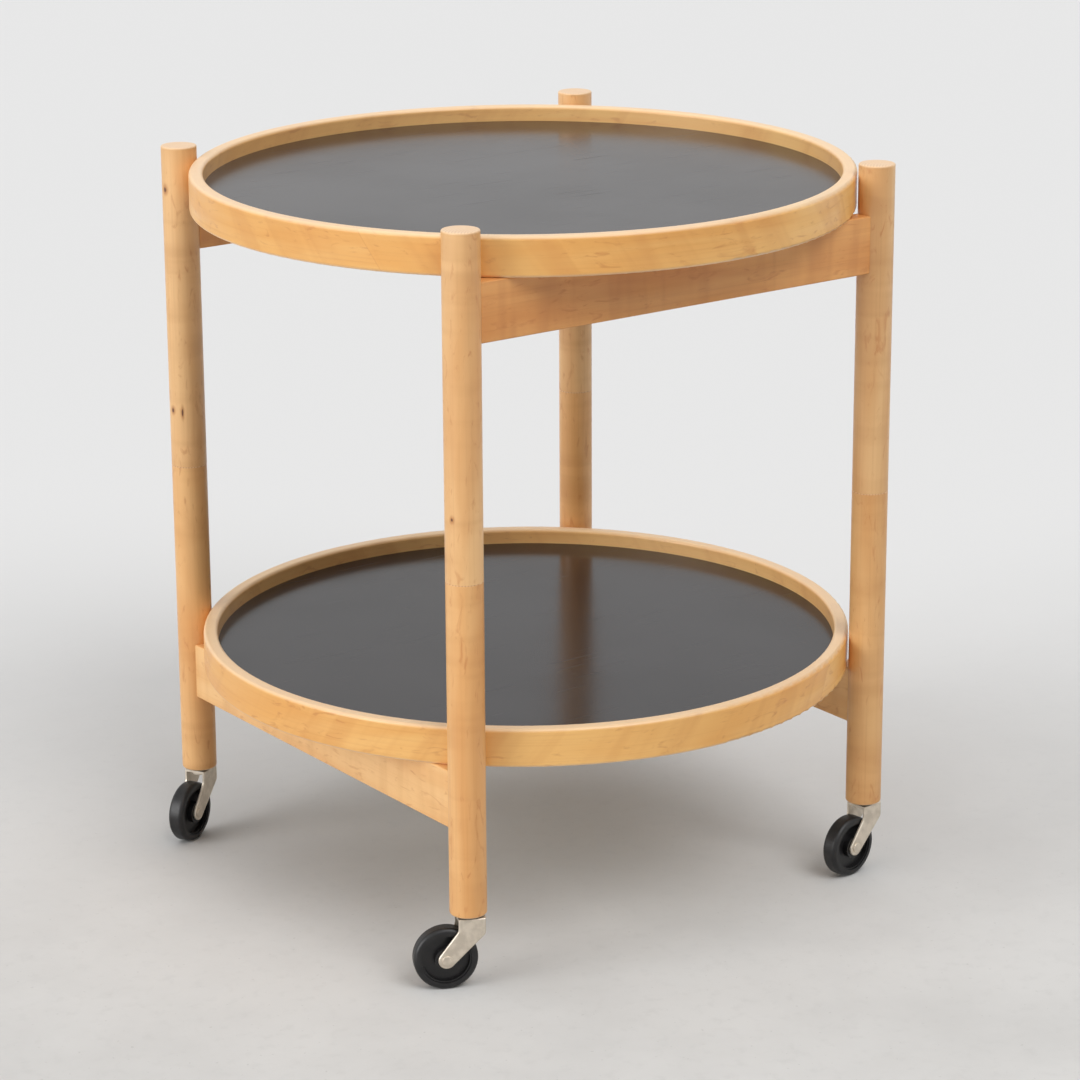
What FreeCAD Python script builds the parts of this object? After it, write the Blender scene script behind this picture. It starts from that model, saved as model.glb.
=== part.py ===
import FreeCAD, Part
import math
import os
import Sketcher

# Round serving trolley on two levels: four legs on swivel casters, four rails and two loose trays.
# Each leg is two halves on a pin: upper rails hold the upper halves and lower rails the lower ones.
# Millimetres, +Z up. The origin is on the floor under the middle of the trolley.
# The upper rails run along X and the lower rails along Y. Each tray lies on its pair of rails.

DIMENSIONS = {
    # Trays
    "tray_diameter": 550,
    "rim_thickness": 12,
    "rim_height": 32,
    "rim_rounding": 3,
    "groove_depth": 4,
    "core_thickness": 4,
    "laminate_thickness": 0.8,
    "tray_clearance": 1.5,
    # Legs and rails
    "leg_diameter": 30,
    "leg_length": 553,
    "leg_top_rounding": 1.2,
    "leg_foot_rounding": 2,
    "leg_joint_gap": 0.1,
    "leg_joint_rounding": 0.2,
    "leg_pin_diameter": 8,
    "leg_pin_length": 60,
    "leg_pin_end_space": 1,
    "leg_rise_over_upper_seat": 41,
    "lower_seat_over_leg_foot": 117,
    "rail_height": 48,
    "rail_thickness": 16,
    "rail_rounding": 1.5,
    "glue_gap": 0.1,
    # Dowels between the rails and the legs
    "dowel_diameter": 8,
    "dowel_leg_depth": 13,
    "dowel_rail_depth": 26,
    "dowel_pitch": 24,
    "dowel_end_space": 1,
    "cut_overrun": 5,
    # Caster stem and its socket
    "caster_rise": 36,
    "stem_diameter": 9,
    "stem_length": 38,
    "stem_head_diameter": 15,
    "stem_head_height": 2.5,
    "stem_end_space": 1,
    "socket_diameter": 13,
    "socket_end_wall": 2,
    "socket_flange_diameter": 24,
    "socket_flange_height": 0.8,
    "ring_groove_depth": 0.8,
    "ring_height": 3,
    "ring_drop": 5,
    "ring_slit": 1.5,
    "washer_diameter": 20,
    "washer_height": 0.8,
    "running_fit": 0.05,
    "running_gap": 0.1,
    # Caster fork
    "fork_sheet": 2,
    "fork_head_front": 9.5,
    "fork_head_back": 12.5,
    "fork_front_drop": 10.5,
    "fork_back_drop": 13.5,
    "fork_end_radius": 7,
    "fork_bend_radius": 5,
    "fork_edge_rounding": 1.2,
    # Wheel and axle
    "wheel_diameter": 52,
    "wheel_width": 14,
    "wheel_trail": 19,
    "wheel_side_gap": 0.5,
    "tyre_thickness": 5.5,
    "tyre_rounding": 3.5,
    "hub_flange_thickness": 1.5,
    "hub_flange_inset": 1,
    "hub_web_thickness": 5,
    "hub_boss_diameter": 19,
    "hub_boss_proud": 0.5,
    "bush_wall": 1.5,
    "axle_diameter": 6,
    "axle_head_diameter": 8.5,
    "axle_head_height": 0.9,
    "axle_head_rounding": 0.6,
}

# Way that each caster trails, in degrees from +X
HEADING_DEGREES = {
    "front_left": 155,
    "front_right": 189,
    "back_left": 208,
    "back_right": 180,
}

# Sizes worked out from the driving dimensions
LEG_RADIUS = "(size.leg_diameter / 2)"
TRAY_RADIUS = "(size.tray_diameter / 2)"
RIM_INSIDE = f"({TRAY_RADIUS} - size.rim_thickness)"
BOARD_THICKNESS = "(size.core_thickness + 2 * size.laminate_thickness)"
GROOVE_RADIUS = f"({RIM_INSIDE} + size.groove_depth)"
CORE_RADIUS = f"({GROOVE_RADIUS} - size.glue_gap)"
LAMINATE_RADIUS = f"({RIM_INSIDE} - size.glue_gap)"
LEG_OFFSET = f"(({TRAY_RADIUS} + size.tray_clearance + {LEG_RADIUS}) / sqrt(2))"
WHEEL_RADIUS = "(size.wheel_diameter / 2)"
LEG_FOOT = f"({WHEEL_RADIUS} + size.caster_rise)"
LEG_TOP = f"({LEG_FOOT} + size.leg_length)"
LEG_JOINT = f"({LEG_FOOT} + size.leg_length / 2)"
UPPER_HALF_FOOT = f"({LEG_JOINT} + size.leg_joint_gap / 2)"
LOWER_HALF_TOP = f"({LEG_JOINT} - size.leg_joint_gap / 2)"
LEG_PIN_RADIUS = "(size.leg_pin_diameter / 2)"
LEG_PIN_HOLE_RADIUS = f"({LEG_PIN_RADIUS} + size.running_fit)"
LEG_PIN_FOOT = f"({LEG_JOINT} - size.leg_pin_length / 2)"
LEG_PIN_HOLE_FOOT = f"({LEG_PIN_FOOT} - size.leg_pin_end_space)"
LEG_PIN_HOLE_TOP = f"({LEG_JOINT} + size.leg_pin_length / 2 + size.leg_pin_end_space)"
SEATS = {
    "upper": f"({LEG_TOP} - size.leg_rise_over_upper_seat)",
    "lower": f"({LEG_FOOT} + size.lower_seat_over_leg_foot)",
}
DOWEL_RADIUS = "(size.dowel_diameter / 2)"
DOWEL_HOLE_RADIUS = f"({DOWEL_RADIUS} + size.glue_gap)"
LEG_DOWEL_HOLE_END = f"({LEG_RADIUS} - size.dowel_leg_depth - size.dowel_end_space)"
LEG_DOWEL_HOLE_DEPTH = "(size.dowel_leg_depth + size.dowel_end_space + size.cut_overrun)"
FORK_TOP = f"({LEG_FOOT} - size.socket_flange_height - size.running_gap - size.washer_height)"
FORK_PLATE = f"({FORK_TOP} - size.fork_sheet)"
BOSS_HALF = "(size.wheel_width / 2 + size.hub_boss_proud)"
FORK_GAP = f"(2 * ({BOSS_HALF} + size.wheel_side_gap))"
FORK_WIDTH = f"({FORK_GAP} + 2 * size.fork_sheet)"
STEM_RADIUS = "(size.stem_diameter / 2)"
STEM_TOP = f"({LEG_FOOT} + size.stem_length)"
RING_TOP = f"({STEM_TOP} - size.ring_drop)"
RING_FOOT = f"({RING_TOP} - size.ring_height)"
RING_SEAT = f"({STEM_RADIUS} - size.ring_groove_depth)"
SOCKET_RADIUS = "(size.socket_diameter / 2)"
SOCKET_BORE = f"({STEM_RADIUS} + size.running_fit)"
SOCKET_END = f"({STEM_TOP} + size.stem_end_space)"
SOCKET_TOP = f"({SOCKET_END} + size.socket_end_wall)"
AXLE_RADIUS = "(size.axle_diameter / 2)"
BUSH_BORE = f"({AXLE_RADIUS} + size.running_fit)"
BUSH_RADIUS = f"({BUSH_BORE} + size.bush_wall)"
HUB_RADIUS = f"({WHEEL_RADIUS} - size.tyre_thickness)"

X_AXIS = FreeCAD.Vector(1, 0, 0)
Y_AXIS = FreeCAD.Vector(0, 1, 0)
Z_AXIS = FreeCAD.Vector(0, 0, 1)
NEAR = 1e-4

# Corner of the trolley: side along X, side along Y
CORNERS = {
    "front_left": (-1, -1),
    "front_right": (1, -1),
    "back_left": (-1, 1),
    "back_right": (1, 1),
}

doc = FreeCAD.newDocument("serving_trolley")
sheet = doc.addObject("Spreadsheet::Sheet", "size")
nodes = []


def fill_sheet():
    for row, (alias, value) in enumerate(DIMENSIONS.items(), start=1):
        sheet.set(f"A{row}", alias)
        sheet.set(f"B{row}", str(value))
        sheet.setAlias(f"B{row}", alias)
    doc.recompute()


def number(expression):
    value = sheet.evalExpression(expression)
    return float(getattr(value, "Value", value))


def bind(thing, **expressions):
    for name, expression in expressions.items():
        thing.setExpression(name, expression)


def move(thing, x="0", y="0", z="0"):
    thing.setExpression("Placement.Base.x", x)
    thing.setExpression("Placement.Base.y", y)
    thing.setExpression("Placement.Base.z", z)


def turn(thing, angle):
    thing.Placement = FreeCAD.Placement(FreeCAD.Vector(), FreeCAD.Rotation(Z_AXIS, 1))
    thing.setExpression("Placement.Rotation.Angle", angle)


def new_body(label):
    body = doc.addObject("PartDesign::Body", label)
    body.Label = label
    nodes.append(body)
    return body


def new_group(label, pieces):
    group = doc.addObject("Part::Compound", label)
    group.Label = label
    group.Links = pieces
    nodes.append(group)


# Sketches

def new_sketch(body, name, role):
    sketch = body.newObject("Sketcher::SketchObject", name)
    plane = next(item for item in body.Origin.OriginFeatures if item.Role == role)
    sketch.AttachmentSupport = [(plane, "")]
    sketch.MapMode = "FlatFace"
    return sketch


def fix_point(sketch, geometry, position, x, y):
    for kind, axis, expression in (("DistanceX", -2, x), ("DistanceY", -1, y)):
        value = number(expression)
        if value == 0:
            sketch.addConstraint(Sketcher.Constraint("PointOnObject", geometry, position, axis))
        else:
            rule = Sketcher.Constraint(kind, -1, 1, geometry, position, value)
            index = sketch.addConstraint(rule)
            sketch.setExpression(f"Constraints[{index}]", expression)


def polygon(body, name, role, points):
    sketch = new_sketch(body, name, role)
    corners = [FreeCAD.Vector(number(x), number(y), 0) for x, y in points]
    for start, end in zip(corners, corners[1:] + corners[:1]):
        sketch.addGeometry(Part.LineSegment(start, end), False)
    for index, (x, y) in enumerate(points):
        following = (index + 1) % len(points)
        sketch.addConstraint(Sketcher.Constraint("Coincident", index, 2, following, 1))
        fix_point(sketch, index, 1, x, y)
    return sketch


# Features

def revolve(label, role, points):
    """A turned piece: points are (radius, place along the axis), and the axis is the sketch's upright."""
    body = new_body(label)
    sketch = polygon(body, f"{label}_profile", role, points)
    feature = body.newObject("PartDesign::Revolution", f"{label}_turning")
    feature.Profile = sketch
    feature.ReferenceAxis = (sketch, ["V_Axis"])
    feature.Angle = 360
    doc.recompute()
    return body


def extrude(body, kind, name, sketch, length):
    feature = body.newObject(f"PartDesign::{kind}", name)
    feature.Profile = sketch
    feature.SideType = "Symmetric"
    bind(feature, Length=length)
    doc.recompute()
    return feature


def round_edges(body, name, radius, test):
    base = body.Tip
    edges = [f"Edge{i}" for i, edge in enumerate(base.Shape.Edges, start=1) if test(edge.BoundBox)]
    fillet = body.newObject("PartDesign::Fillet", name)
    fillet.Base = (base, edges)
    bind(fillet, Radius=radius)
    doc.recompute()


def drill(body, name, radius, depth, place, axis=Z_AXIS, angle=0):
    """A round cut that starts at place and runs along +Z turned by angle about axis."""
    before = body.Shape.Volume
    cut = body.newObject("PartDesign::SubtractiveCylinder", name)
    cut.Placement = FreeCAD.Placement(FreeCAD.Vector(), FreeCAD.Rotation(axis, angle))
    bind(cut, Radius=radius, Height=depth)
    move(cut, *place)
    doc.recompute()
    if body.Shape.Volume >= before:
        raise RuntimeError(f"{name} cuts nothing")


def is_level(box, height):
    return abs(box.ZMin - number(height)) < NEAR and abs(box.ZMax - number(height)) < NEAR


# Trays

def make_rim(label, seat):
    """A bent hoop with rounded edges. The core's edge sits in a groove around the inside."""
    groove_low = "((size.rim_height - size.core_thickness) / 2 - size.glue_gap)"
    groove_high = "((size.rim_height + size.core_thickness) / 2 + size.glue_gap)"
    body = revolve(label, "XZ_Plane", [
        (RIM_INSIDE, "0"),
        (TRAY_RADIUS, "0"),
        (TRAY_RADIUS, "size.rim_height"),
        (RIM_INSIDE, "size.rim_height"),
        (RIM_INSIDE, groove_high),
        (GROOVE_RADIUS, groove_high),
        (GROOVE_RADIUS, groove_low),
        (RIM_INSIDE, groove_low),
    ])
    round_edges(body, f"{label}_edges", "size.rim_rounding",
                lambda box: is_level(box, "0") or is_level(box, "size.rim_height"))
    move(body, z=seat)


def make_disc(label, radius, thickness, foot):
    body = revolve(label, "XZ_Plane", [
        ("0", "0"),
        (radius, "0"),
        (radius, thickness),
        ("0", thickness),
    ])
    move(body, z=foot)


def make_tray(level):
    seat = SEATS[level]
    board_foot = f"({seat} + (size.rim_height - {BOARD_THICKNESS}) / 2)"
    core_foot = f"({board_foot} + size.laminate_thickness)"
    core_top = f"({core_foot} + size.core_thickness)"
    make_rim(f"{level}_tray_rim", seat)
    make_disc(f"{level}_tray_core", CORE_RADIUS, "size.core_thickness", core_foot)
    for side, foot in (("bottom", board_foot), ("top", core_top)):
        make_disc(f"{level}_tray_{side}_laminate", LAMINATE_RADIUS, "size.laminate_thickness", foot)


# Legs, pins, rails and dowels

def dowel_heights(level):
    middle = f"({SEATS[level]} - size.rail_height / 2)"
    return [f"({middle} + {side} * size.dowel_pitch / 2)" for side in (-1, 1)]


def make_leg_half(label, foot, top, foot_rounding, top_rounding):
    """A round length of leg with both ends eased."""
    body = revolve(label, "XZ_Plane", [
        ("0", foot),
        (LEG_RADIUS, foot),
        (LEG_RADIUS, top),
        ("0", top),
    ])
    round_edges(body, f"{label}_top", top_rounding, lambda box: is_level(box, top))
    round_edges(body, f"{label}_foot", foot_rounding, lambda box: is_level(box, foot))
    return body


def make_upper_half(label, side_x):
    body = make_leg_half(label, UPPER_HALF_FOOT, LEG_TOP,
                         "size.leg_joint_rounding", "size.leg_top_rounding")
    drill(body, f"{label}_pin_hole", LEG_PIN_HOLE_RADIUS,
          f"{LEG_PIN_HOLE_TOP} - {UPPER_HALF_FOOT} + size.cut_overrun",
          ("0", "0", f"{UPPER_HALF_FOOT} - size.cut_overrun"))
    for height in dowel_heights("upper"):
        drill(body, f"{label}_dowel_hole", DOWEL_HOLE_RADIUS, LEG_DOWEL_HOLE_DEPTH,
              (f"{-side_x} * {LEG_DOWEL_HOLE_END}", "0", height), Y_AXIS, -90 * side_x)
    return body


def make_lower_half(label, side_y):
    body = make_leg_half(label, LEG_FOOT, LOWER_HALF_TOP,
                         "size.leg_foot_rounding", "size.leg_joint_rounding")
    drill(body, f"{label}_pin_hole", LEG_PIN_HOLE_RADIUS,
          f"{LOWER_HALF_TOP} - {LEG_PIN_HOLE_FOOT} + size.cut_overrun", ("0", "0", LEG_PIN_HOLE_FOOT))
    drill(body, f"{label}_socket_bore", f"{SOCKET_RADIUS} + size.glue_gap",
          f"{SOCKET_TOP} - {LEG_FOOT} + size.cut_overrun", ("0", "0", f"{LEG_FOOT} - size.cut_overrun"))
    for height in dowel_heights("lower"):
        drill(body, f"{label}_dowel_hole", DOWEL_HOLE_RADIUS, LEG_DOWEL_HOLE_DEPTH,
              ("0", f"{-side_y} * {LEG_DOWEL_HOLE_END}", height), X_AXIS, 90 * side_y)
    return body


def make_leg(corner, side_x, side_y):
    upper = make_upper_half(f"leg_{corner}_upper", side_x)
    lower = make_lower_half(f"leg_{corner}_lower", side_y)
    for half in (upper, lower):
        move(half, f"{side_x} * {LEG_OFFSET}", f"{side_y} * {LEG_OFFSET}")


def make_leg_pins():
    pins = []
    for corner, (side_x, side_y) in CORNERS.items():
        pin = doc.addObject("Part::Cylinder", f"leg_pin_{corner}")
        bind(pin, Radius=LEG_PIN_RADIUS, Height="size.leg_pin_length")
        move(pin, f"{side_x} * {LEG_OFFSET}", f"{side_y} * {LEG_OFFSET}", LEG_PIN_FOOT)
        pins.append(pin)
    new_group("leg_pins", pins)


def make_rail(label, level, x, y, angle):
    """A board on edge, from leg axis to leg axis, with its ends hollowed to fit the round legs."""
    body = new_body(label)
    half = "size.rail_thickness / 2"
    top = SEATS[level]
    foot = f"{top} - size.rail_height"
    outline = polygon(body, f"{label}_section", "YZ_Plane", [
        (f"-{half}", foot),
        (half, foot),
        (half, top),
        (f"-{half}", top),
    ])
    extrude(body, "Pad", f"{label}_board", outline, f"2 * {LEG_OFFSET}")
    round_edges(body, f"{label}_edges", "size.rail_rounding",
                lambda box: box.YLength < NEAR and box.ZLength < NEAR)
    for side in (-1, 1):
        drill(body, f"{label}_hollow", f"{LEG_RADIUS} + size.glue_gap",
              "size.rail_height + 2 * size.cut_overrun",
              (f"{side} * {LEG_OFFSET}", "0", f"{foot} - size.cut_overrun"))
        bottom = f"({LEG_OFFSET} - {LEG_RADIUS} - size.dowel_rail_depth - size.dowel_end_space)"
        for height in dowel_heights(level):
            drill(body, f"{label}_dowel_hole", DOWEL_HOLE_RADIUS,
                  f"size.dowel_rail_depth + size.dowel_end_space + {LEG_RADIUS}",
                  (f"{side} * {bottom}", "0", height), Y_AXIS, 90 * side)
    turn(body, angle)
    move(body, x, y)


def make_dowels(level):
    """All dowels of one pair of rails. Upper ones lie along X and lower ones along Y."""
    start = f"({LEG_OFFSET} - {LEG_RADIUS} - size.dowel_rail_depth)"
    dowels = []
    for corner, (side_x, side_y) in CORNERS.items():
        for height in dowel_heights(level):
            dowel = doc.addObject("Part::Cylinder", f"{level}_dowel_{corner}")
            bind(dowel, Radius=DOWEL_RADIUS, Height="size.dowel_leg_depth + size.dowel_rail_depth")
            if level == "upper":
                rotation = FreeCAD.Rotation(Y_AXIS, 90 * side_x)
                place = (f"{side_x} * {start}", f"{side_y} * {LEG_OFFSET}", height)
            else:
                rotation = FreeCAD.Rotation(X_AXIS, -90 * side_y)
                place = (f"{side_x} * {LEG_OFFSET}", f"{side_y} * {start}", height)
            dowel.Placement = FreeCAD.Placement(FreeCAD.Vector(), rotation)
            move(dowel, *place)
            dowels.append(dowel)
    new_group(f"{level}_rail_dowels", dowels)


def make_frame():
    for corner, sides in CORNERS.items():
        make_leg(corner, *sides)
    make_leg_pins()
    for name, side in (("front", -1), ("back", 1)):
        make_rail(f"upper_rail_{name}", "upper", "0", f"{side} * {LEG_OFFSET}", "0")
    for name, side in (("left", -1), ("right", 1)):
        make_rail(f"lower_rail_{name}", "lower", f"{side} * {LEG_OFFSET}", "0", "90")
    for level in ("upper", "lower"):
        make_dowels(level)


# Casters. Each is made with its stem on the Z axis, trailing along +X, with the floor at zero height.

def make_socket(label):
    return revolve(label, "XZ_Plane", [
        (SOCKET_BORE, f"{LEG_FOOT} - size.socket_flange_height"),
        ("size.socket_flange_diameter / 2", f"{LEG_FOOT} - size.socket_flange_height"),
        ("size.socket_flange_diameter / 2", LEG_FOOT),
        (SOCKET_RADIUS, LEG_FOOT),
        (SOCKET_RADIUS, SOCKET_TOP),
        ("0", SOCKET_TOP),
        ("0", SOCKET_END),
        (SOCKET_BORE, SOCKET_END),
    ])


def make_stem(label):
    return revolve(label, "XZ_Plane", [
        ("0", f"{FORK_PLATE} - size.stem_head_height"),
        ("size.stem_head_diameter / 2", f"{FORK_PLATE} - size.stem_head_height"),
        ("size.stem_head_diameter / 2", FORK_PLATE),
        (STEM_RADIUS, FORK_PLATE),
        (STEM_RADIUS, RING_FOOT),
        (RING_SEAT, RING_FOOT),
        (RING_SEAT, RING_TOP),
        (STEM_RADIUS, RING_TOP),
        (STEM_RADIUS, STEM_TOP),
        ("0", STEM_TOP),
    ])


def make_grip_ring(label):
    inside = f"({RING_SEAT} + size.running_fit)"
    body = revolve(label, "XZ_Plane", [
        (inside, f"{RING_FOOT} + size.running_fit"),
        (STEM_RADIUS, f"{RING_FOOT} + size.running_fit"),
        (STEM_RADIUS, f"{RING_TOP} - size.running_fit"),
        (inside, f"{RING_TOP} - size.running_fit"),
    ])
    slit = body.newObject("PartDesign::SubtractiveBox", f"{label}_slit")
    bind(slit, Length=STEM_RADIUS, Width="size.ring_slit", Height="size.ring_height")
    move(slit, "0", "-size.ring_slit / 2", RING_FOOT)
    doc.recompute()
    return body


def make_washer(label):
    inside = f"{STEM_RADIUS} + size.running_fit"
    return revolve(label, "XZ_Plane", [
        (inside, FORK_TOP),
        ("size.washer_diameter / 2", FORK_TOP),
        ("size.washer_diameter / 2", f"{FORK_TOP} + size.washer_height"),
        (inside, f"{FORK_TOP} + size.washer_height"),
    ])


def tangent_point(centre, radius, corner, side):
    """Where a line from corner touches the circle, to the left (1) or right (-1) seen from the circle."""
    away = corner - centre
    angle = math.atan2(away.y, away.x) + side * math.acos(radius / away.Length)
    return centre + FreeCAD.Vector(radius * math.cos(angle), radius * math.sin(angle), 0)


def fork_outline(body, label):
    """Side view of the fork: a square head, and an arm that tapers to a round end at the axle."""
    sketch = new_sketch(body, f"{label}_outline", "XZ_Plane")
    back_corner = ("-size.fork_head_back", f"{FORK_TOP} - size.fork_back_drop")
    back_top = ("-size.fork_head_back", FORK_TOP)
    front_top = ("size.fork_head_front", FORK_TOP)
    front_corner = ("size.fork_head_front", f"{FORK_TOP} - size.fork_front_drop")
    points = [back_corner, back_top, front_top, front_corner]
    corners = [FreeCAD.Vector(number(x), number(y), 0) for x, y in points]
    centre = FreeCAD.Vector(number("size.wheel_trail"), number(WHEEL_RADIUS), 0)
    radius = number("size.fork_end_radius")
    arm_back = tangent_point(centre, radius, corners[0], 1)
    arm_front = tangent_point(centre, radius, corners[3], -1)
    path = [arm_back] + corners + [arm_front]
    for start, end in zip(path, path[1:]):
        sketch.addGeometry(Part.LineSegment(start, end), False)
    circle = Part.Circle(centre, Z_AXIS, radius)
    end_arc = Part.ArcOfCircle(circle, circle.parameter(arm_back), circle.parameter(arm_front))
    arc = sketch.addGeometry(end_arc, False)
    for index, (x, y) in enumerate(points):
        sketch.addConstraint(Sketcher.Constraint("Coincident", index, 2, index + 1, 1))
        fix_point(sketch, index, 2, x, y)
    fix_point(sketch, arc, 3, "size.wheel_trail", WHEEL_RADIUS)
    rule = sketch.addConstraint(Sketcher.Constraint("Radius", arc, radius))
    sketch.setExpression(f"Constraints[{rule}]", "size.fork_end_radius")
    sketch.addConstraint(Sketcher.Constraint("Tangent", 0, 1, arc, 1))
    sketch.addConstraint(Sketcher.Constraint("Tangent", len(points), 2, arc, 2))
    return sketch


def make_fork(label):
    """A fork pressed from sheet: a top plate on the stem and a cheek on each side of the wheel."""
    body = new_body(label)
    extrude(body, "Pad", f"{label}_block", fork_outline(body, label), FORK_WIDTH)
    bends = (number(f"{FORK_TOP} - size.fork_back_drop"), number(f"{FORK_TOP} - size.fork_front_drop"))
    round_edges(body, f"{label}_bends", "size.fork_bend_radius",
                lambda box: box.XLength < NEAR
                and min(abs(box.ZMin - z) + box.ZLength for z in bends) < NEAR)
    half = number(FORK_WIDTH) / 2
    round_edges(body, f"{label}_edges", "size.fork_edge_rounding",
                lambda box: box.YLength < NEAR and abs(abs(box.YMin) - half) < NEAR)
    front = "size.wheel_trail + size.fork_end_radius + size.cut_overrun"
    back = "-size.fork_head_back - size.cut_overrun"
    foot = f"{WHEEL_RADIUS} - size.fork_end_radius - size.cut_overrun"
    gap = polygon(body, f"{label}_gap_side", "XZ_Plane", [
        (back, foot),
        (front, foot),
        (front, FORK_PLATE),
        (back, FORK_PLATE),
    ])
    extrude(body, "Pocket", f"{label}_gap", gap, FORK_GAP)
    drill(body, f"{label}_stem_hole", f"{STEM_RADIUS} + size.running_fit",
          "size.fork_sheet + 2 * size.cut_overrun", ("0", "0", f"{FORK_PLATE} - size.cut_overrun"))
    drill(body, f"{label}_axle_hole", f"{AXLE_RADIUS} + size.running_fit", FORK_WIDTH,
          ("size.wheel_trail", f"{FORK_WIDTH} / 2", WHEEL_RADIUS), X_AXIS, 90)
    return body


# Wheel pieces are made with the axle on the Y axis and the middle of the wheel at the origin.

def make_axle(label):
    half = f"{FORK_WIDTH} / 2"
    end = f"{half} + size.axle_head_height"
    head = "size.axle_head_diameter / 2"
    body = revolve(label, "XY_Plane", [
        ("0", f"-({end})"),
        (head, f"-({end})"),
        (head, f"-{half}"),
        (AXLE_RADIUS, f"-{half}"),
        (AXLE_RADIUS, half),
        (head, half),
        (head, end),
        ("0", end),
    ])
    round_edges(body, f"{label}_heads", "size.axle_head_rounding",
                lambda box: abs(abs(box.YMin) - number(end)) < NEAR and box.YLength < NEAR)
    return body


def make_tube(label, inside, outside, half):
    return revolve(label, "XY_Plane", [
        (inside, f"-{half}"),
        (outside, f"-{half}"),
        (outside, half),
        (inside, half),
    ])


def make_hub(label):
    bore = f"{BUSH_RADIUS} + size.glue_gap"
    boss = "size.hub_boss_diameter / 2"
    web = "size.hub_web_thickness / 2"
    outside = f"{HUB_RADIUS} - size.glue_gap"
    flange_inside = f"{HUB_RADIUS} - size.hub_flange_thickness"
    flange = "(size.wheel_width / 2 - size.hub_flange_inset)"
    upper_side = [(outside, flange), (flange_inside, flange), (flange_inside, web), (boss, web),
                  (boss, BOSS_HALF), (bore, BOSS_HALF)]
    lower_side = [(radius, f"-{place}") for radius, place in reversed(upper_side)]
    return revolve(label, "XY_Plane", upper_side + lower_side)


def make_tyre(label):
    body = make_tube(label, HUB_RADIUS, WHEEL_RADIUS, "size.wheel_width / 2")
    radius = number(WHEEL_RADIUS)
    round_edges(body, f"{label}_shoulders", "size.tyre_rounding",
                lambda box: box.YLength < NEAR and abs(box.XMax - radius) < NEAR)
    return body


def make_caster(corner, side_x, side_y):
    heading = str(HEADING_DEGREES[corner])
    stem_x = f"{side_x} * {LEG_OFFSET}"
    stem_y = f"{side_y} * {LEG_OFFSET}"
    wheel_x = f"{stem_x} + size.wheel_trail * cos({heading} * 1 deg)"
    wheel_y = f"{stem_y} + size.wheel_trail * sin({heading} * 1 deg)"
    caster = f"caster_{corner}"
    for body in (make_socket(f"{caster}_socket"), make_stem(f"{caster}_stem"),
                 make_grip_ring(f"{caster}_grip_ring"), make_washer(f"{caster}_washer"),
                 make_fork(f"{caster}_fork")):
        turn(body, heading)
        move(body, stem_x, stem_y)
    wheel = f"wheel_{corner}"
    for body in (make_axle(f"{caster}_axle"), make_hub(f"{wheel}_hub"),
                 make_tube(f"{wheel}_bush", BUSH_BORE, BUSH_RADIUS, BOSS_HALF), make_tyre(f"{wheel}_tyre")):
        turn(body, heading)
        move(body, wheel_x, wheel_y, WHEEL_RADIUS)


def check_and_write():
    doc.recompute()
    for item in doc.Objects:
        if "Invalid" in item.State or "Error" in item.State:
            raise RuntimeError(f"{item.Label} failed: {item.State}")
    for node in nodes:
        if node.Shape.isNull() or not node.Shape.isValid():
            raise RuntimeError(f"{node.Label} has no valid shape")
        print(node.Label, len(node.Shape.Solids), round(node.Shape.Volume, 1))
    os.makedirs("parts", exist_ok=True)
    for node in nodes:
        node.Shape.exportStep(f"parts/{node.Label}.step")


fill_sheet()
make_frame()
for tray_level in ("upper", "lower"):
    make_tray(tray_level)
for name, sides in CORNERS.items():
    make_caster(name, *sides)
check_and_write()
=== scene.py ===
import math

import bpy
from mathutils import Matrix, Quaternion, Vector


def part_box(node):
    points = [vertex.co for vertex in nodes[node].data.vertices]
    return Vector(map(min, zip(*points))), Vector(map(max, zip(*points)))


# Looks of a round serving trolley: birch frame and rims, black laminate trays with pale undersides,
# and small black casters in zinc-plated forks.
# Metres, +Z up, with the origin on the floor under the middle of the trolley.

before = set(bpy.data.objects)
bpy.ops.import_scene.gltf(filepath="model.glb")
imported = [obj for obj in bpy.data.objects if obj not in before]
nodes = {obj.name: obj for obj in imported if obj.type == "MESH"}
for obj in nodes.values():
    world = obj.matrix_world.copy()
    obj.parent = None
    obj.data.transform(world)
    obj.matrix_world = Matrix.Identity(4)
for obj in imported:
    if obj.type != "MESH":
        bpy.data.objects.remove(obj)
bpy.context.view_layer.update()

CORNERS = ("front_left", "front_right", "back_left", "back_right")
LEVELS = ("upper", "lower")
HALVES = ("upper", "lower")

# Camera: it stands this far round from -Y, and looks a little right of the middle
VIEW_TURN = math.radians(-35.7)
CAMERA_REACH = 3.003
CAMERA_HEIGHT = 1.21
CAMERA_AIM_SIDE = 0.0125
CAMERA_AIM_HEIGHT = 0.282
CAMERA_ROLL = math.radians(0.3)
CAMERA_LENS = 123.2

VIEW_RIGHT = Vector((math.cos(VIEW_TURN), math.sin(VIEW_TURN), 0))
VIEW_AWAY = Vector((-math.sin(VIEW_TURN), math.cos(VIEW_TURN), 0))
UP = Vector((0, 0, 1))


def srgb(red, green, blue):
    """A colour as a screen shows it, from 0 to 255, turned into the linear values that nodes take."""
    def linear(value):
        share = value / 255
        return share / 12.92 if share <= 0.04045 else ((share + 0.055) / 1.055) ** 2.4
    return (linear(red), linear(green), linear(blue), 1)


# Node tools

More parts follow.
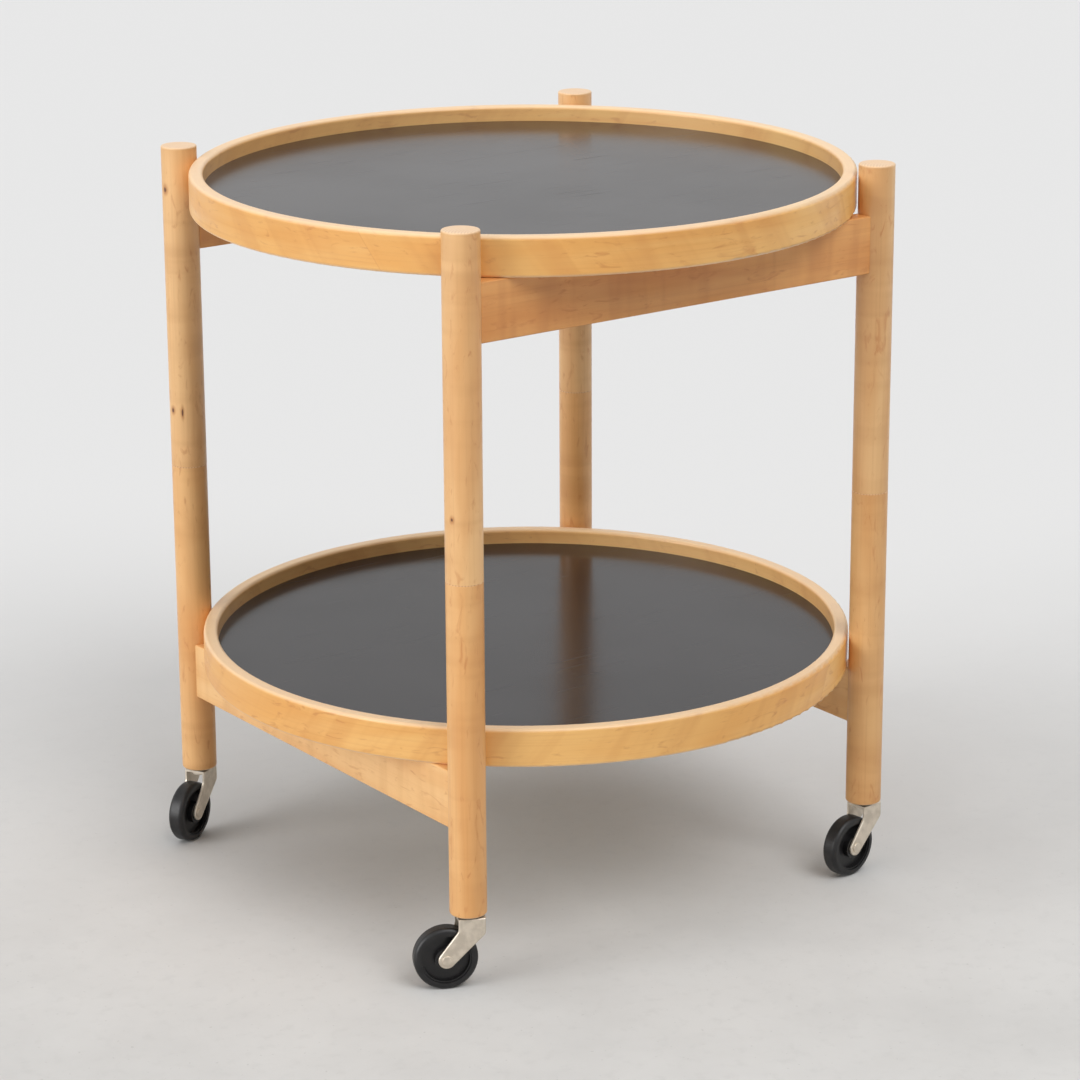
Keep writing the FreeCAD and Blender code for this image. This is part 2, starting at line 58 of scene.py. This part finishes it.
class Tree:
    """A node tree, with short ways to add nodes to it."""

    def __init__(self, tree):
        self.tree = tree

    def put(self, socket, value):
        """Link a socket to another one, or set it to a plain value."""
        if isinstance(value, bpy.types.NodeSocket):
            self.tree.links.new(value, socket)
        else:
            socket.default_value = value

    def add(self, kind, inputs, output=0, **settings):
        """A new node with these inputs and settings, given as one of its outputs."""
        node = self.tree.nodes.new(f"ShaderNode{kind}")
        for name, value in settings.items():
            setattr(node, name, value)
        for socket, value in inputs.items():
            self.put(node.inputs[socket], value)
        return node.outputs[output]

    def parts(self, vector):
        node = self.tree.nodes.new("ShaderNodeSeparateXYZ")
        self.put(node.inputs[0], vector)
        return node.outputs

    def join(self, x, y, z):
        return self.add("CombineXYZ", {0: x, 1: y, 2: z})

    def math(self, operation, first, second=0.0, third=0.0):
        return self.add("Math", {0: first, 1: second, 2: third}, operation=operation)

    def vector(self, operation, first, second):
        return self.add("VectorMath", {0: first, 1: second}, operation=operation)

    def distance(self, first, second):
        return self.add("VectorMath", {0: first, 1: second}, "Value", operation="DISTANCE")

    def along(self, vector, way):
        """How far a place lies along a way of unit length."""
        return self.add("VectorMath", {0: vector, 1: way}, "Value", operation="DOT_PRODUCT")

    def noise(self, vector, waves, detail=2.0, roughness=0.5, distortion=0.0):
        """Noise with about so many waves in a metre along each of the three ways."""
        scaled = self.vector("MULTIPLY", vector, waves)
        return self.add("TexNoise", {"Vector": scaled, "Scale": 1.0, "Detail": detail,
                                     "Roughness": roughness, "Distortion": distortion})

    def fade(self, value, low, high, start=0.0, end=1.0):
        """Start below low, end above high, and a smooth change between them."""
        return self.add("MapRange", {"Value": value, "From Min": low, "From Max": high,
                                     "To Min": start, "To Max": end}, interpolation_type="SMOOTHSTEP")

    def blend(self, amount, first, second):
        return self.add("Mix", {0: amount, 6: first, 7: second}, 2, data_type="RGBA")

    def bump(self, height, depth, strength):
        return self.add("Bump", {"Height": height, "Distance": depth, "Strength": strength})


class Paint(Tree):
    """One material: its node tree and its shader."""

    def __init__(self, name):
        self.material = bpy.data.materials.new(name)
        self.material.use_nodes = True
        super().__init__(self.material.node_tree)
        self.shader = self.tree.nodes["Principled BSDF"]

    def surface(self, **inputs):
        for name, value in inputs.items():
            self.put(self.shader.inputs[name.replace("_", " ")], value)

    def place(self):
        return self.add("TexCoord", {}, "Object")


# Birch

# Light, middle and dark tone of each kind of piece
RIM_TONES = (srgb(241, 190, 115), srgb(231, 168, 89), srgb(204, 132, 64))
LEG_TONES = {
    "upper": (srgb(237, 190, 132), srgb(222, 166, 106), srgb(194, 134, 79)),
    "lower": (srgb(237, 186, 124), srgb(224, 164, 100), srgb(198, 134, 73)),
}
# How much of those tones a leg keeps under painted shade: the front right leg is painted darker for the
# light that falls off towards it
LEG_PAINTED_SHADE_SHARES = {"front_right": 0.92}
# Painted light and shade: the upper rails are painted darker and redder for the shade under the trays, and
# the lower rails paler for the light from the left
RAIL_LIT_AND_SHADED_TONES = {
    "upper": (srgb(232, 169, 101), srgb(213, 142, 75), srgb(181, 109, 53)),
    "lower": (srgb(242, 194, 132), srgb(232, 176, 112), srgb(206, 146, 86)),
}
RAW_TONES = (srgb(236, 192, 138), srgb(222, 172, 116), srgb(196, 140, 86))
# Painted highlight colour for rounded edges that catch the light
PAINTED_EDGE_HIGHLIGHT = srgb(248, 220, 184)
CURL = srgb(188, 110, 52)
END_GRAIN_LIGHT = srgb(236, 192, 146)
END_GRAIN_DARK = srgb(208, 154, 104)
KNOT = srgb(92, 52, 28)
KNOT_HALO = srgb(184, 118, 62)
# Figure of the wood, as waves in a metre along the grain and the two ways across it
BROAD_WAVES = (4, 26, 26)
RIPPLE_WAVES = (46, 7, 7)
FIBRE_WAVES = (6, 420, 420)
CURL_WAVES = (38, 120, 120)
GLOSS_WAVES = (14, 90, 90)
RINGS_PER_METRE = 2600 / (2 * math.pi)
PLIES_PER_METRE = 5200 / (2 * math.pi)
# Shifts of the grain that keep kinds of pieces from matching
LEG_SHIFTS = {"upper": (0.31, 0.17, 0.43), "lower": (1.93, 0.58, 0.29)}
RAIL_SHIFT = (0.77, 0.29, 0.61)
DOWEL_SHIFT = (0.13, 0.53, 0.37)
RIM_THICKNESS = 0.012
# Where the scarf joint's line starts and ends, back from the meeting ends of the hoop
SCARF_LINE_START = 0.0008
SCARF_LINE_END = 0.0003
# How far the painted edge highlights and end grain reach in from an edge
RIM_EASE = 0.003
LEG_EASE = 0.002
END_EASE = 0.0006
# Where the pith lies from the middle of a leg, in leg radii
PITH_SHARES = (0.7, -1.6)


def straight_grain(paint, axis):
    """Place along the grain, then the two places across it, for a piece cut along one axis."""
    x, y, z = paint.parts(paint.place())
    order = {"X": (x, y, z), "Y": (y, z, x), "Z": (z, x, y)}[axis]
    return paint.join(*order)


def hoop_grain(paint, radius, scarf_turn, scarf_slope, middle):
    """Grain that runs round a hoop and breaks at one slanted scarf joint, and the joint's thin line."""
    x, y, z = paint.parts(paint.place())
    slant = paint.math("MULTIPLY_ADD", paint.math("SUBTRACT", z, middle), scarf_slope, math.pi - scarf_turn)
    turned = paint.math("ADD", paint.math("ARCTAN2", y, x), slant)
    angle = paint.math("WRAP", turned, math.pi, -math.pi)
    reach = paint.distance(paint.join(x, y, 0.0), (0, 0, 0))
    along = paint.math("MULTIPLY", angle, radius)
    end = math.pi * radius
    line = paint.fade(paint.math("ABSOLUTE", along), end - SCARF_LINE_START, end - SCARF_LINE_END)
    return paint.join(along, z, reach), line


def birch(paint, grain, shift, tones):
    """Colour, roughness and bump of oiled birch. A shift of the grain keeps pieces from matching."""
    light, middle, dark = tones
    moved = paint.vector("ADD", grain, shift)
    broad = paint.noise(moved, BROAD_WAVES, detail=3.0, distortion=0.8)
    ripple = paint.noise(moved, RIPPLE_WAVES, detail=2.0, distortion=0.6)
    fibres = paint.noise(moved, FIBRE_WAVES, detail=4.0, roughness=0.6)
    curls = paint.noise(moved, CURL_WAVES, detail=3.0, roughness=0.55, distortion=1.6)
    colour = paint.blend(paint.fade(broad, 0.3, 0.7), light, middle)
    colour = paint.blend(paint.fade(ripple, 0.42, 0.74, 0.0, 0.3), colour, dark)
    colour = paint.blend(paint.fade(fibres, 0.46, 0.8, 0.0, 0.24), colour, dark)
    colour = paint.blend(paint.fade(curls, 0.57, 0.74, 0.0, 0.42), colour, CURL)
    roughness = paint.fade(paint.noise(moved, GLOSS_WAVES), 0.25, 0.75, 0.36, 0.52)
    height = paint.math("MULTIPLY_ADD", curls, 0.5, fibres)
    return colour, roughness, paint.bump(height, 0.0003, 0.2)


def finish_wood(paint, colour, roughness, normal):
    """A thin coat of oil over the wood."""
    paint.surface(Base_Color=colour, Roughness=roughness, Normal=normal)
    paint.surface(Coat_Weight=0.18, Coat_Roughness=0.22)
    return paint.material


def knot(paint, colour, centre, width, length):
    """A small dark knot with a warm halo, longer along the leg than across it."""
    place = paint.place()
    wobble = paint.noise(place, (420, 420, 160), detail=3.0)
    squeeze = (1 / width, 1 / width, 1 / length)
    away = paint.distance(paint.vector("MULTIPLY", place, squeeze),
                          tuple(a * b for a, b in zip(centre, squeeze)))
    ragged = paint.math("MULTIPLY_ADD", wobble, 0.9, away)
    colour = paint.blend(paint.fade(ragged, 1.0, 2.6, 0.75, 0.0), colour, KNOT_HALO)
    return paint.blend(paint.fade(ragged, 0.8, 1.25, 0.95, 0.0), colour, KNOT)


def end_grain(paint, colour, pith, low, high):
    """Growth rings on the two ends of a leg half."""
    place = paint.place()
    height = paint.parts(place)[2]
    top = paint.fade(height, high - END_EASE, high)
    foot = paint.fade(height, low, low + END_EASE, 1.0, 0.0)
    flat = paint.vector("MULTIPLY", place, (1, 1, 0))
    wobble = paint.noise(place, (160, 160, 160), detail=2.0)
    reach = paint.math("MULTIPLY_ADD", wobble, 0.0012, paint.distance(flat, pith))
    rings = paint.math("SINE", paint.math("MULTIPLY", reach, 2 * math.pi * RINGS_PER_METRE))
    rings_colour = paint.blend(paint.fade(rings, -0.4, 0.9), END_GRAIN_LIGHT, END_GRAIN_DARK)
    return paint.blend(paint.math("MAXIMUM", top, foot), colour, rings_colour)


def painted_end_highlight(paint, colour, end):
    """Painted highlight round the free end of a leg, where its rounded edge catches the light."""
    height = paint.parts(paint.place())[2]
    away = paint.math("ABSOLUTE", paint.math("SUBTRACT", height, end))
    return paint.blend(paint.fade(away, 0.0, LEG_EASE, 0.5, 0.0), colour, PAINTED_EDGE_HIGHLIGHT)


# Knots of each half leg: height, turn about the leg's axis in degrees, width, length
LEG_KNOTS = {
    "leg_back_left_upper": [(0.579, -176, 0.0024, 0.0032), (0.388, -175, 0.0021, 0.0028),
                            (0.387, -137, 0.0011, 0.0046)],
    "leg_front_left_upper": [(0.391, -162, 0.0017, 0.0024)],
    "leg_back_right_lower": [(0.330, 80, 0.0014, 0.0022)],
}


def leg_tones(corner, half):
    # Painted shade: a leg with a share gets all its tones darkened by it
    share = LEG_PAINTED_SHADE_SHARES.get(corner, 1)
    return [(red * share, green * share, blue * share, 1) for red, green, blue, _ in LEG_TONES[half]]


def leg_wood(corner, half):
    name = f"leg_{corner}_{half}"
    low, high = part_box(name)
    middle = (low + high) / 2
    radius = (high.x - low.x) / 2
    paint = Paint(f"{name}_birch")
    grain = straight_grain(paint, "Z")
    colour, roughness, normal = birch(paint, grain, LEG_SHIFTS[half], leg_tones(corner, half))
    for height, turn, width, length in LEG_KNOTS.get(name, []):
        angle = math.radians(turn)
        centre = (middle.x + radius * math.cos(angle), middle.y + radius * math.sin(angle), height)
        colour = knot(paint, colour, centre, width, length)
    pith = (middle.x + radius * PITH_SHARES[0], middle.y + radius * PITH_SHARES[1], 0)
    colour = end_grain(paint, colour, pith, low.z, high.z)
    # Painted highlight on the leg's free end
    colour = painted_end_highlight(paint, colour, high.z if half == "upper" else low.z)
    return finish_wood(paint, colour, roughness, normal)


def rail_wood(name, level, axis):
    paint = Paint(f"{name}_birch")
    grain = straight_grain(paint, axis)
    # The level's tones carry painted shade on the upper rails and painted light on the lower ones
    return finish_wood(paint, *birch(paint, grain, RAIL_SHIFT, RAIL_LIT_AND_SHADED_TONES[level]))


# Scarf joint of each rim: turn about Z in degrees, and slope in radians of turn for each metre of height
RIM_SCARFS = {"upper": (-151, 2.4), "lower": (-62, -2.4)}


def painted_rim_edges(paint, colour, low, high):
    """Painted highlight on the rounded top and bottom edges of a rim, and a slightly paler inner face."""
    x, y, z = paint.parts(paint.place())
    inside = high.x - RIM_THICKNESS
    top = paint.fade(z, high.z - RIM_EASE, high.z, 0.0, 0.7)
    bottom = paint.fade(z, low.z, low.z + RIM_EASE, 0.7, 0.0)
    reach = paint.distance(paint.join(x, y, 0.0), (0, 0, 0))
    inner = paint.fade(reach, inside, inside + RIM_EASE, 0.15, 0.0)
    amount = paint.math("MAXIMUM", paint.math("MAXIMUM", top, bottom), inner)
    return paint.blend(amount, colour, PAINTED_EDGE_HIGHLIGHT)


def rim_wood(level):
    low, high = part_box(f"{level}_tray_rim")
    turn, slope = RIM_SCARFS[level]
    radius = high.x - RIM_THICKNESS / 2
    paint = Paint(f"{level}_rim_birch")
    grain, line = hoop_grain(paint, radius, math.radians(turn), slope, (low.z + high.z) / 2)
    colour, roughness, normal = birch(paint, grain, (low.z * 3, 0.19, 0.83), RIM_TONES)
    colour = paint.blend(paint.math("MULTIPLY", line, 0.2), colour, CURL)
    # Painted highlight on the rim's top and bottom edges
    colour = painted_rim_edges(paint, colour, low, high)
    return finish_wood(paint, colour, roughness, normal)


def dowel_wood(name, axis):
    paint = Paint(f"{name}_birch")
    grain = straight_grain(paint, axis)
    return finish_wood(paint, *birch(paint, grain, DOWEL_SHIFT, RAW_TONES))


def plywood(name):
    """Thin crossed plies, seen as light and dark bands up the edge."""
    paint = Paint(name)
    place = paint.place()
    height = paint.parts(place)[2]
    plies = paint.math("SINE", paint.math("MULTIPLY", height, 2 * math.pi * PLIES_PER_METRE))
    speckle = paint.noise(place, (700, 700, 2200), detail=3.0)
    bands = paint.math("MULTIPLY_ADD", speckle, 0.8, plies)
    colour = paint.blend(paint.fade(bands, -0.4, 1.0), END_GRAIN_LIGHT, END_GRAIN_DARK)
    paint.surface(Base_Color=colour, Normal=paint.bump(speckle, 0.0002, 0.3), Roughness=0.65)
    return paint.material


# Laminate, metals, plastic and rubber

def laminate(name, light, dark):
    """Satin laminate with a faint grain in its gloss and a few hairline scratches."""
    paint = Paint(name)
    place = paint.place()
    cloud = paint.noise(place, (9, 9, 9), detail=4.0)
    texture = paint.noise(place, (900, 900, 900), detail=2.0)
    moved = paint.vector("ADD", place, (0.4, 0.7, 0))
    scratches = paint.noise(moved, (11, 620, 30), detail=1.0, distortion=0.3)
    colour = paint.blend(paint.fade(cloud, 0.3, 0.7), light, dark)
    gloss = paint.fade(cloud, 0.3, 0.7, 0.17, 0.21)
    roughness = paint.math("ADD", gloss, paint.fade(scratches, 0.7, 0.76, 0.0, 0.14))
    paint.surface(Base_Color=colour, Roughness=roughness, Normal=paint.bump(texture, 0.00004, 0.12))
    paint.surface(Specular_IOR_Level=0.34)
    return paint.material


def metal(name, light, dark, smooth, rough, coarse):
    """Plated or bare steel: mottled tone, uneven gloss and fine dents."""
    paint = Paint(name)
    place = paint.place()
    cloud = paint.noise(place, (130, 130, 130), detail=4.0)
    grain = paint.noise(place, (coarse, coarse, coarse), detail=3.0)
    colour = paint.blend(paint.fade(cloud, 0.32, 0.68), light, dark)
    roughness = paint.fade(grain, 0.3, 0.7, smooth, rough)
    paint.surface(Base_Color=colour, Roughness=roughness, Normal=paint.bump(grain, 0.0001, 0.12))
    paint.surface(Metallic=0.85)
    return paint.material


def black_plastic(name, smooth, rough, dust):
    """Moulded black plastic or rubber, greyed by a little dust."""
    paint = Paint(name)
    place = paint.place()
    cloud = paint.noise(place, (160, 160, 160), detail=4.0)
    grain = paint.noise(place, (1800, 1800, 1800), detail=2.0)
    colour = paint.blend(paint.fade(cloud, 0.35, 0.8), srgb(14, 13, 14), dust)
    roughness = paint.fade(grain, 0.3, 0.7, smooth, rough)
    paint.surface(Base_Color=colour, Roughness=roughness, Normal=paint.bump(grain, 0.00008, 0.2))
    return paint.material


# Which node takes which material

def dress(name, material):
    slots = nodes[name].data.materials
    slots.clear()
    slots.append(material)


def dress_frame():
    for corner in CORNERS:
        for half in HALVES:
            dress(f"leg_{corner}_{half}", leg_wood(corner, half))
    for side in ("front", "back"):
        dress(f"upper_rail_{side}", rail_wood(f"upper_rail_{side}", "upper", "X"))
    for side in ("left", "right"):
        dress(f"lower_rail_{side}", rail_wood(f"lower_rail_{side}", "lower", "Y"))
    dress("upper_rail_dowels", dowel_wood("upper_dowels", "X"))
    dress("lower_rail_dowels", dowel_wood("lower_dowels", "Y"))


def dress_trays():
    top = laminate("black_laminate", srgb(33, 28, 31), srgb(27, 22, 25))
    bottom = laminate("pale_laminate", srgb(236, 230, 219), srgb(228, 221, 209))
    core = plywood("plywood_core")
    for level in LEVELS:
        dress(f"{level}_tray_rim", rim_wood(level))
        dress(f"{level}_tray_core", core)
        dress(f"{level}_tray_top_laminate", top)
        dress(f"{level}_tray_bottom_laminate", bottom)


def dress_pins_and_casters():
    zinc = metal("zinc_steel", srgb(226, 215, 199), srgb(206, 195, 179), 0.38, 0.5, 900)
    dark = metal("dark_steel", srgb(96, 92, 86), srgb(70, 66, 62), 0.35, 0.5, 900)
    spring = metal("spring_steel", srgb(120, 116, 110), srgb(92, 88, 84), 0.3, 0.42, 1200)
    drawn = metal("drawn_steel", srgb(170, 168, 162), srgb(140, 137, 130), 0.25, 0.35, 1500)
    nylon = black_plastic("black_nylon", 0.4, 0.55, srgb(40, 39, 38))
    plastic = black_plastic("black_plastic", 0.34, 0.46, srgb(25, 24, 25))
    rubber = black_plastic("black_rubber", 0.36, 0.5, srgb(31, 30, 31))
    caster = {"socket": dark, "stem": zinc, "grip_ring": spring, "washer": nylon, "fork": zinc, "axle": zinc}
    wheel = {"hub": plastic, "bush": drawn, "tyre": rubber}
    dress("leg_pins", drawn)
    for corner in CORNERS:
        for piece, material in caster.items():
            dress(f"caster_{corner}_{piece}", material)
        for piece, material in wheel.items():
            dress(f"wheel_{corner}_{piece}", material)


# Stage

PALE_WALL = srgb(228, 228, 228)
# Painted light: the floor is paler far away and towards the back than round the trolley
FAR_FLOOR = srgb(220, 220, 220)
NEAR_FLOOR_LIGHT = srgb(209, 208, 206)
NEAR_FLOOR_DARK = srgb(200, 199, 197)
FLOOR_STAIN = srgb(192, 191, 189)
FLOOR_SPECK = srgb(170, 169, 166)
FLOOR_REACH = 14.0
# The darker floor near the trolley ends between these distances from it, and painted light pales it beyond
NEAR_FLOOR_REACH = 0.9
FAR_FLOOR_START = 3 * NEAR_FLOOR_REACH
# It also pales between these places along the camera's view
FLOOR_FADE_START = -0.75
FLOOR_FADE_END = 1.05
# Light from low and from high in the sky, and the heights (as sines) between which it grows
SKY_LOW = 0.05
SKY_TOP = 1.08
SKY_RISE_START = 0.34
SKY_RISE_END = 0.87
LAMP_AIM_HEIGHT = 0.35
RIGHT_LIGHT = 1.15
RIGHT_LIGHT_WIDTH = math.radians(34)
RIGHT_LAMP_PLACE = VIEW_AWAY * -1.6 + VIEW_RIGHT * 1.2 + UP * 2.5
LEFT_LIGHT = 1.75
LEFT_LIGHT_WIDTH = math.radians(38)
LEFT_LAMP_PLACE = VIEW_AWAY * -1.3 + VIEW_RIGHT * -2.4 + UP * 1.2


def pale_floor():
    """Matte and mottled, darker round the trolley, with painted light that pales it towards the back and far
    away.
    """
    paint = Paint("pale_floor")
    place = paint.place()
    cloud = paint.noise(place, (4, 4, 4), detail=6.0, roughness=0.62)
    fine = paint.noise(place, (70, 70, 70), detail=4.0, roughness=0.6)
    specks = paint.noise(place, (240, 240, 240), detail=1.0)
    near_floor = paint.blend(paint.fade(cloud, 0.32, 0.68), NEAR_FLOOR_LIGHT, NEAR_FLOOR_DARK)
    near_floor = paint.blend(paint.fade(fine, 0.5, 0.75, 0.0, 0.35), near_floor, FLOOR_STAIN)
    near_floor = paint.blend(paint.fade(specks, 0.72, 0.78, 0.0, 0.4), near_floor, FLOOR_SPECK)
    # Painted light: the floor pales towards the back and far away
    behind = paint.fade(paint.along(place, VIEW_AWAY), FLOOR_FADE_START, FLOOR_FADE_END)
    outside = paint.fade(paint.distance(place, (0, 0, 0)), NEAR_FLOOR_REACH, FAR_FLOOR_START)
    colour = paint.blend(paint.math("MAXIMUM", behind, outside), near_floor, FAR_FLOOR)
    roughness = paint.fade(fine, 0.3, 0.7, 0.55, 0.75)
    paint.surface(Base_Color=colour, Roughness=roughness, Normal=paint.bump(fine, 0.0004, 0.15))
    paint.surface(Specular_IOR_Level=0.0)
    return paint.material


def make_floor():
    mesh = bpy.data.meshes.new("floor")
    corners = [(-FLOOR_REACH, -FLOOR_REACH, 0), (FLOOR_REACH, -FLOOR_REACH, 0),
               (FLOOR_REACH, FLOOR_REACH, 0), (-FLOOR_REACH, FLOOR_REACH, 0)]
    mesh.from_pydata(corners, [], [(0, 1, 2, 3)])
    mesh.materials.append(pale_floor())
    floor = bpy.data.objects.new("floor", mesh)
    bpy.context.scene.collection.objects.link(floor)


def add_lamp(name, strength, width, place):
    """A broad soft light from the way of place, turned to the middle of the trolley."""
    light = bpy.data.lights.new(f"{name}_light", "SUN")
    light.energy = strength
    light.angle = width
    lamp = bpy.data.objects.new(f"{name}_lamp", light)
    lamp.location = place
    lamp.rotation_euler = (UP * LAMP_AIM_HEIGHT - place).to_track_quat("-Z", "Y").to_euler()
    bpy.context.scene.collection.objects.link(lamp)


def make_lamps():
    add_lamp("right", RIGHT_LIGHT, RIGHT_LIGHT_WIDTH, RIGHT_LAMP_PLACE)
    add_lamp("left", LEFT_LIGHT, LEFT_LIGHT_WIDTH, LEFT_LAMP_PLACE)


def make_world():
    """Soft light from all round, stronger overhead. The camera and reflections see it as a pale wall."""
    world = bpy.data.worlds.new("studio")
    world.use_nodes = True
    sky = Tree(world.node_tree)
    height = sky.parts(sky.add("TexCoord", {}, "Generated"))[2]
    strength = sky.fade(height, SKY_RISE_START, SKY_RISE_END, SKY_LOW, SKY_TOP)
    fill = sky.tree.nodes["Background"]
    sky.put(fill.inputs["Color"], (1, 1, 1, 1))
    sky.put(fill.inputs["Strength"], strength)
    wall = sky.add("Background", {"Color": PALE_WALL, "Strength": 1.0})
    camera_ray = sky.add("LightPath", {}, "Is Camera Ray")
    glossy_ray = sky.add("LightPath", {}, "Is Glossy Ray")
    seen = sky.math("MAXIMUM", camera_ray, glossy_ray)
    mix = sky.add("MixShader", {0: seen, 1: fill.outputs[0], 2: wall})
    sky.put(sky.tree.nodes["World Output"].inputs[0], mix)
    bpy.context.scene.world = world


def make_camera():
    data = bpy.data.cameras.new("camera")
    data.lens = CAMERA_LENS
    camera = bpy.data.objects.new("camera", data)
    camera.location = VIEW_AWAY * -CAMERA_REACH + UP * CAMERA_HEIGHT
    aim = VIEW_RIGHT * CAMERA_AIM_SIDE + UP * CAMERA_AIM_HEIGHT
    look = (aim - camera.location).to_track_quat("-Z", "Y")
    camera.rotation_euler = (look @ Quaternion(UP, -CAMERA_ROLL)).to_euler()
    bpy.context.scene.collection.objects.link(camera)
    bpy.context.scene.camera = camera


dress_frame()
dress_trays()
dress_pins_and_casters()
make_floor()
make_lamps()
make_world()
make_camera()
bpy.context.scene.view_settings.view_transform = "Standard"
